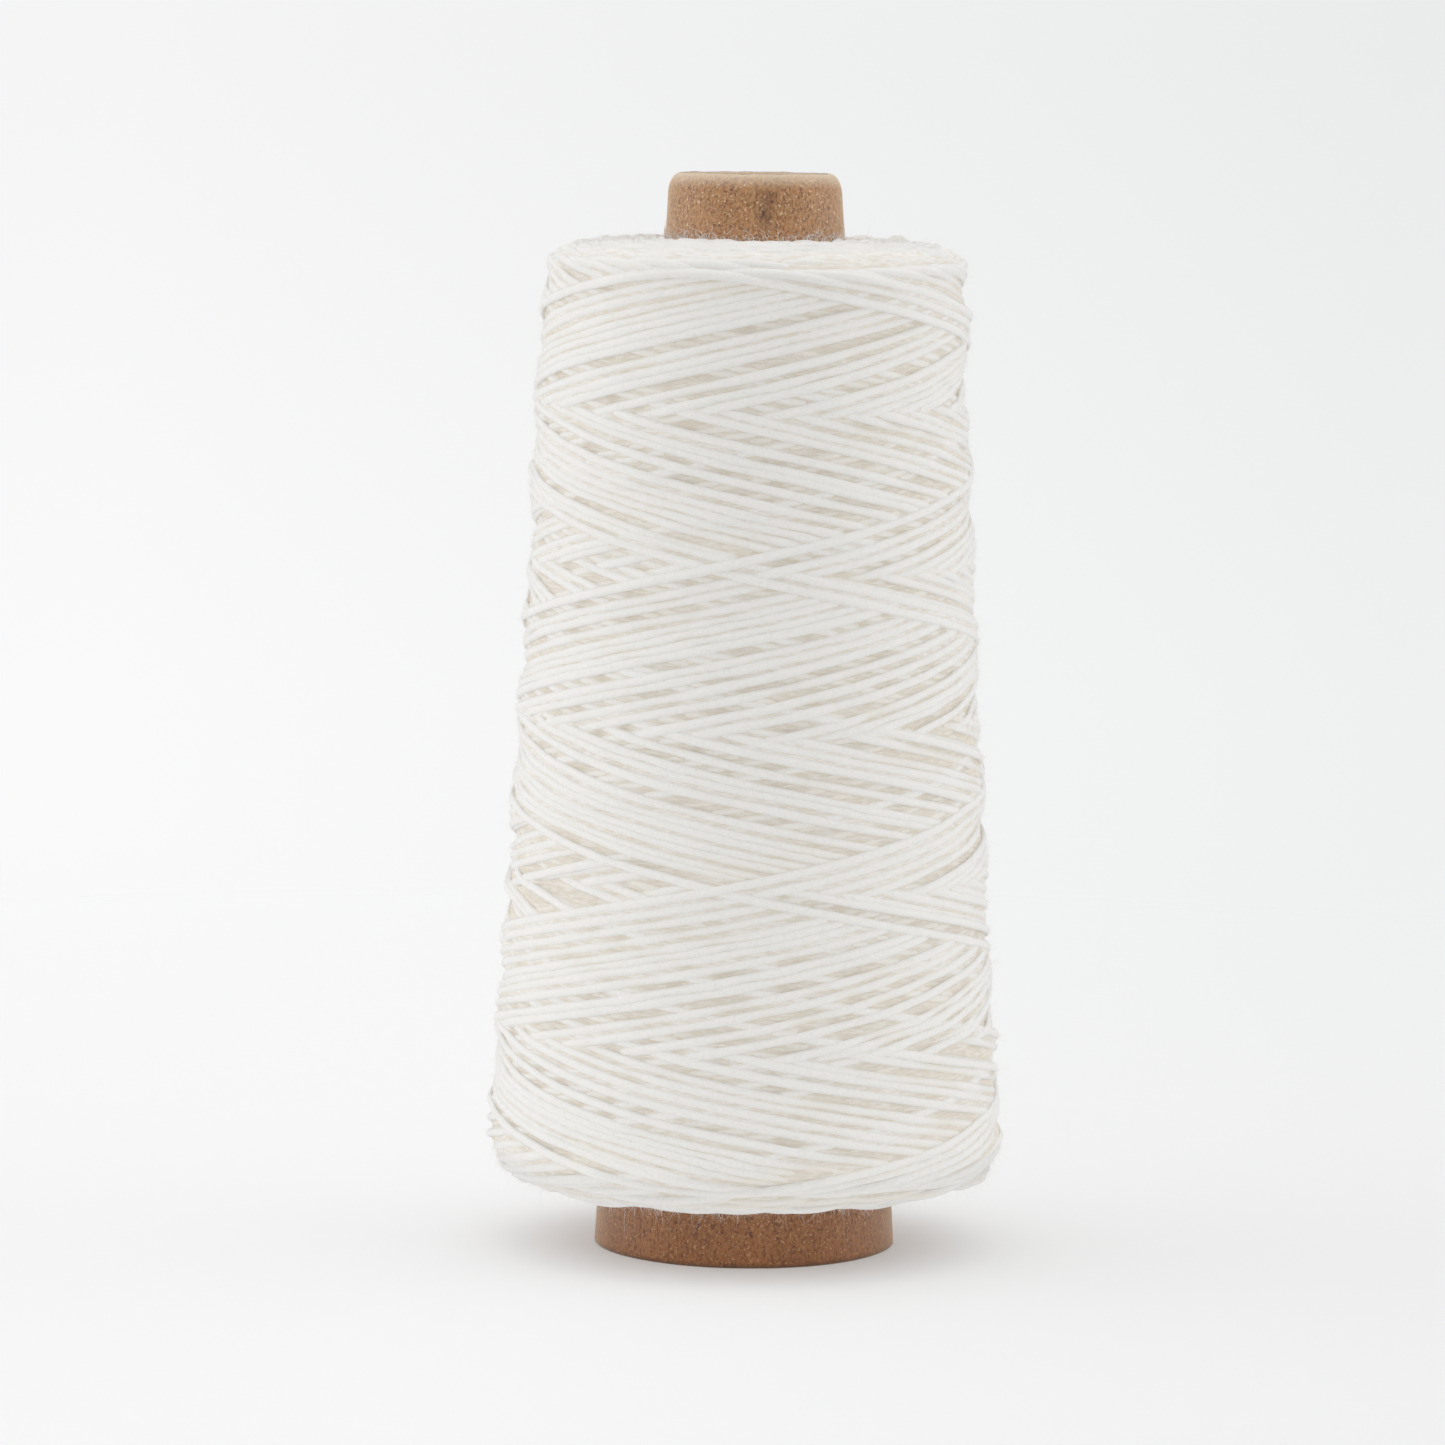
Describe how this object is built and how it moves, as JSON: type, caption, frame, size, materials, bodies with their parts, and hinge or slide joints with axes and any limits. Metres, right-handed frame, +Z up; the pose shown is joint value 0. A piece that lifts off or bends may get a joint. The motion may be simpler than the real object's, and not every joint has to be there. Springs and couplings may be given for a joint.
{
  "type": "cone of weaving yarn",
  "caption": "Tall tapered cone of soft off-white cotton yarn, cross-wound on a kraft paper cone that stands on its wide open base and unwinds over its nose.",
  "frame": {"origin": "centre of the paper cone's cut base, on the surface that the cone stands on", "axes": "+Z up along the cone's axis, from the wide base to the narrow nose; +Y away from the viewer and +X to the viewer's right"},
  "size_m": [0.0812, 0.0812, 0.17],
  "materials": {
    "kraft_board": "matte",
    "cotton_yarn": "matte"
  },
  "bodies": {
    "root": {"paper_cone": "kraft_board", "yarn_package": "cotton_yarn"}
  },
  "joints": []
}
